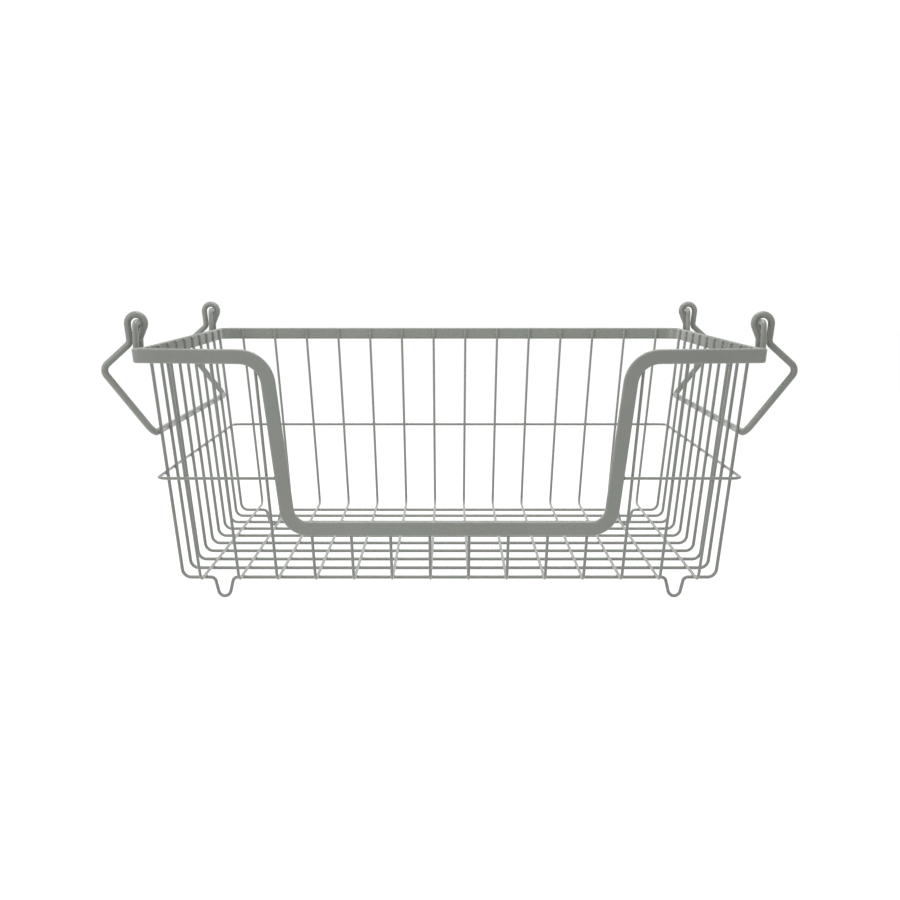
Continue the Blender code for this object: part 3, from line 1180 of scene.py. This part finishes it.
@dataclass
class Staples:
    """Four bent rods that stand on the band and carry the handles."""

    wires: WireMesh
    coat: PowderCoat
    rod: float = 0.004
    bare_rod: float = 0.0038
    inset: float = 0.0003
    span: float = 0.0147
    bend: float = 0.0035
    rise: float = 0.0173
    lap: float = 0.008
    handle_rod: float = 0.0048
    side_gap: float = 0.0010

    @property
    def walls(self) -> Walls:
        """Return the walls that the staples stand on."""
        return self.wires.walls

    def out(self) -> float:
        """Distance from the middle to the staples, which stand against the band."""
        proud = self.walls.to_face + self.walls.weld_gap + self.rod / 2
        return self.walls.side(self.walls.rim_top, proud)

    def place(self) -> float:
        """Distance from the middle to a staple's middle, clear of the first upright wire."""
        last_wire = self.walls.end(self.walls.rim_middle) - self.wires.long_rim_margin
        return last_wire + self.walls.wire / 2 + self.side_gap + self.handle_rod / 2

    def pivot_height(self) -> float:
        """Height of the top bars' middle line, which is the handles' axis."""
        return self.walls.rim_top + self.rise

    def build(self) -> None:
        """Make the four staples."""
        half = self.span / 2
        foot = self.walls.rim_top - self.lap
        top = self.pivot_height()
        material = self.coat.material("staple_coat_satin")
        for side in Side:
            for end, word in ((-1, "front"), (1, "rear")):
                x = side.value * (self.out() - self.inset)
                y = end * self.place()
                places = [(y - half, foot), (y - half, top), (y + half, top), (y + half, foot)]
                route = Route.bent([Vector((x, b, c)) for b, c in places], [self.bend] * 2)
                Rod(route, SIDEWAYS, self.bare_rod, ROD_SIDES).build(
                    f"{side.word}_{word}_hoop", material, "staple_coat", f"{side.word}_{word}_staple")


@dataclass(frozen=True)
class BeadSize:
    """Half axes of a weld bead, the last one from pole to pole."""

    first: float
    second: float
    pole: float

    def axes(self, first: Vector, second: Vector, pole: Vector) -> list[Vector]:
        """Return the half axes as vectors along three directions."""
        return [first * self.first, second * self.second, pole * self.pole]


@dataclass
class Welds:
    """Small beads where wires cross each other, the bar and the staples."""

    wires: WireMesh
    staples: Staples
    coat: PowderCoat
    crossing: BeadSize = BeadSize(0.00135, 0.00135, 0.0008)
    seam: BeadSize = BeadSize(0.0014, 0.0034, 0.0006)
    foot: BeadSize = BeadSize(0.0026, 0.0038, 0.0010)
    butt: BeadSize = BeadSize(0.0008, 0.0013, 0.0013)

    @property
    def walls(self) -> Walls:
        """Return the walls that the welds lie on."""
        return self.wires.walls

    def finish(self, shaper: Shaper, name: str, slot: str) -> None:
        """Turn a group of beads into one piece on the basket."""
        shaper.finish(name, self.coat.material(f"{name}_satin"), slot)

    def wall_bead(self, shaper: Shaper, level: Vector, place: Vector, size: BeadSize) -> None:
        """Put a bead on a wall.

        Args:
            shaper: The mesh that the bead belongs to.
            level: Level direction out of the wall.
            place: Place along the wall, height, and distance outside the wires' middle.
            size: Size of the bead.
        """
        along, height, proud = place
        if level.x:
            centre = Vector((level.x * self.walls.side(height, proud), along, height))
        else:
            centre = Vector((along, level.y * self.walls.end(height, proud), height))
        normal = self.walls.normal(level)
        rise = self.walls.rise(level)
        shaper.bead(centre, size.axes(rise.cross(normal), rise, normal))

    def leg_bead(self, shaper: Shaper, leg: Leg, height: float, size: BeadSize) -> None:
        """Put a bead between a leg and what it is welded to outside.

        Args:
            shaper: The mesh that the bead belongs to.
            leg: The leg.
            height: Height of the bead.
            size: Size of the bead.
        """
        walls = self.walls
        foot = walls.long_height if leg.level.x else walls.cross_height
        share = (height - foot) / (self.wires.head - foot)
        along = leg.floor + (leg.rim - leg.floor) * share
        between = (walls.wire + walls.weld_gap) / 2
        self.wall_bead(shaper, leg.level, Vector((along, height, between)), size)

    def build_floor(self) -> None:
        """Weld every cross wire to every long wire in the floor."""
        shaper = Shaper()
        height = (self.walls.long_height + self.walls.cross_height) / 2
        axes = self.crossing.axes(SIDEWAYS, BACKWARDS, UP)
        for x, _ in self.wires.cross_row():
            for y, _ in self.wires.long_row():
                shaper.bead(Vector((x, y, height)), axes)
        self.finish(shaper, "floor_welds", "cross_coat")

    def build_rim(self) -> None:
        """Weld every leg to the inner face of the bar that it ends behind."""
        shaper = Shaper()
        down = self.walls.bar.height / 2 - self.wires.end_inset
        for leg in self.wires.legs():
            self.leg_bead(shaper, leg, leg.top - down, self.seam)
        self.finish(shaper, "rim_welds", "rim_coat")

    def build_girdle(self) -> None:
        """Weld the girdle to the legs and to both edges of the lip."""
        height = self.wires.girdle_height
        shaper = Shaper()
        for leg in self.wires.legs():
            if leg.top >= height:
                self.leg_bead(shaper, leg, height, self.crossing)
        depth = self.walls.end(height, self.walls.wire + self.walls.weld_gap)
        for side in Side:
            centre = Vector((side.value * self.wires.girdle_reach(), -depth, height))
            shaper.bead(centre, self.butt.axes(SIDEWAYS, BACKWARDS, UP))
        self.finish(shaper, "girdle_welds", "girdle_coat")

    def build_staples(self) -> None:
        """Weld both legs of each staple to the band's outer face."""
        staples = self.staples
        height = self.walls.rim_top - staples.lap / 2
        proud = self.walls.to_face + self.walls.weld_gap / 2
        shaper = Shaper()
        for side in Side:
            for end in (-1, 1):
                for leg in (-1, 1):
                    along = end * staples.place() + leg * staples.span / 2
                    self.wall_bead(shaper, SIDEWAYS * side.value, Vector((along, height, proud)),
                                   self.foot)
        self.finish(shaper, "staple_welds", "staple_coat")

    def build(self) -> None:
        """Make every weld."""
        self.build_floor()
        self.build_rim()
        self.build_girdle()
        self.build_staples()


@dataclass
class Bail:
    """One swinging handle: a rod with an eye, a neck and an elbow at both ends of its grip."""

    side: Side
    staples: Staples
    coat: PowderCoat
    wall_gap: float = 0.0003
    eye_radius: float = 0.00595
    eye_out: float = 0.0007
    eye_drop: float = 0.0010
    closing_angle: float = 22.4
    closing_length: float = 0.0098
    neck_out: float = 0.0052
    neck_drop: float = 0.0144
    neck_bend: float = 0.005
    elbow_out: float = 0.0256
    elbow_drop: float = 0.0325
    elbow_bend: float = 0.006
    grip_drop: float = 0.0770
    grip_bend: float = 0.007

    def place(self, out: float, down: float, along: float) -> Vector:
        """Place a point by its distance out from the pivot, down from it and along it."""
        staples = self.staples
        return Vector((self.side.value * (staples.out() + out), along, staples.pivot_height() - down))

    def eye_line(self) -> list[Pair]:
        """Bend the eye, from its tip to the neck.

        Returns:
            Points of the middle line, as distances out and down from the pivot.
        """
        closing = math.radians(self.closing_angle)
        out = self.neck_out - self.eye_out
        down = self.neck_drop - self.eye_drop
        neck = math.atan2(down, out) - math.acos(self.eye_radius / math.hypot(out, down))
        start = math.pi - closing
        end = 2 * math.pi + neck
        steps = round(math.degrees(end - start) / ARC_STEP)
        turns = [start + (end - start) * step / steps for step in range(steps + 1)]
        line = [(self.eye_out + self.eye_radius * math.cos(turn),
                 self.eye_drop + self.eye_radius * math.sin(turn)) for turn in turns]
        tip = (line[0][0] + self.closing_length * math.sin(closing),
               line[0][1] + self.closing_length * math.cos(closing))
        return [tip, *line]

    def grip_out(self) -> float:
        """Measure how far out the grip hangs, against the wall's upright wires.

        Returns:
            The distance from the pivot.
        """
        walls = self.staples.walls
        height = self.staples.pivot_height() - self.grip_drop
        proud = walls.wire / 2 + self.wall_gap + self.staples.handle_rod / 2
        return walls.side(height, proud) - self.staples.out()

    def build(self) -> None:
        """Make the handle in one sweep."""
        end = self.staples.place()
        leg = [self.place(out, down, -end) for out, down in self.eye_line()]
        corners = [leg[-1], self.place(self.neck_out, self.neck_drop, -end),
                   self.place(self.elbow_out, self.elbow_drop, -end),
                   self.place(self.grip_out(), self.grip_drop, -end),
                   self.place(self.grip_out(), self.grip_drop, 0)]
        leg += Route.bent(corners, [self.neck_bend, self.elbow_bend, self.grip_bend]).points[1:]
        shin = corners[3] - corners[2]
        word = self.side.word
        rod = Rod(Route(leg + mirrored(leg[:-1], SWAP_ENDS)), shin.cross(BACKWARDS).normalized(),
                  self.staples.handle_rod, ROD_SIDES)
        rod.build(f"{word}_bail_rod", self.coat.material(f"{word}_bail_satin"), "handle_coat",
                  f"{word}_handle", self.side.bail)


@dataclass(frozen=True)
class SoftLamp:
    """One square softbox that looks at a point of the basket."""

    name: str
    place: tuple[float, float, float]
    aim: tuple[float, float, float]
    size: float
    watts: float

    def build(self) -> None:
        """Hang the lamp."""
        lamp = bpy.data.lights.new(self.name, "AREA")
        lamp.shape = "SQUARE"
        lamp.size = self.size
        lamp.energy = self.watts
        hung = put_in_scene(self.name, lamp)
        hung.location = self.place
        look = Vector(self.aim) - Vector(self.place)
        hung.rotation_euler = look.to_track_quat("-Z", "Y").to_euler()


@dataclass
class Studio:
    """Pale floor, soft light and the camera at the photograph's viewing angle."""

    floor: StudioFloor = StudioFloor()
    floor_half: float = 4.0
    sky_strength: float = 0.42
    backdrop_strength: float = 1.03
    camera_place: tuple[float, float, float] = (0.0, -0.9919, 0.2307)
    camera_pitch: float = 8.18
    sensor_width: float = 36.0
    focal_share: float = 1.383
    shift: float = 0.0006
    nearest: float = 0.01
    lamps: tuple[SoftLamp, ...] = (
        SoftLamp("top_lamp", place=(0, -0.05, 1.0), aim=(0, 0, 0.1), size=0.7, watts=6.0),
        SoftLamp("left_lamp", place=(-1.1, -1.0, 0.6), aim=(0, 0, 0.1), size=0.9, watts=5.3),
    )

    def build_floor(self) -> None:
        """Lay the floor."""
        half = self.floor_half
        places = ((-half, -half), (half, -half), (half, half), (-half, half))
        build = bmesh.new()
        build.faces.new([build.verts.new((x, y, 0)) for x, y in places])
        mesh = bpy.data.meshes.new("studio_floor")
        build.to_mesh(mesh)
        build.free()
        mesh.materials.append(self.floor.material("studio_floor_pale"))
        laid = put_in_scene("studio_floor", mesh)

    def build_sky(self) -> None:
        """Surround the basket with even light that the camera sees as white."""
        world = bpy.data.worlds.new("studio_sky")
        world.use_nodes = True
        bpy.context.scene.world = world
        sketch = ShaderSketch(world.node_tree)
        white = (1, 1, 1, 1)
        even = sketch.node("Background", Color=white, Strength=self.sky_strength)
        seen = sketch.node("Background", Color=white, Strength=self.backdrop_strength)
        chosen = sketch.by_ray(even.outputs["Background"], seen.outputs["Background"])
        sketch.end("OutputWorld", chosen)

    def build_camera(self) -> None:
        """Set the camera where the photograph was taken from."""
        camera = bpy.data.cameras.new("camera")
        camera.sensor_width = self.sensor_width
        camera.lens = self.sensor_width * self.focal_share
        camera.shift_x = self.shift
        camera.clip_start = self.nearest
        stand = put_in_scene("camera", camera)
        tilt = Matrix.Rotation(math.radians(90 - self.camera_pitch), 4, "X")
        stand.matrix_world = Matrix.Translation(self.camera_place) @ tilt
        bpy.context.scene.camera = stand

    def build(self) -> None:
        """Set up the whole studio."""
        bpy.context.scene.view_settings.view_transform = "Standard"
        self.build_camera()
        self.build_floor()
        self.build_sky()
        for lamp in self.lamps:
            lamp.build()


def main() -> None:
    """Load the frame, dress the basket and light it."""
    logging.basicConfig(level=logging.INFO, format="%(name)s: %(message)s")
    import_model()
    coat = PowderCoat(wear_range=(0.54, 0.57))
    rim = Rim(Walls(), PowderCoat())
    wires = WireMesh(rim, coat)
    staples = Staples(wires, coat)
    rim.build()
    wires.build()
    staples.build()
    Welds(wires, staples, coat).build()
    for side in Side:
        Bail(side, staples, coat).build()
    Studio().build()


if __name__ == "__main__":
    main()
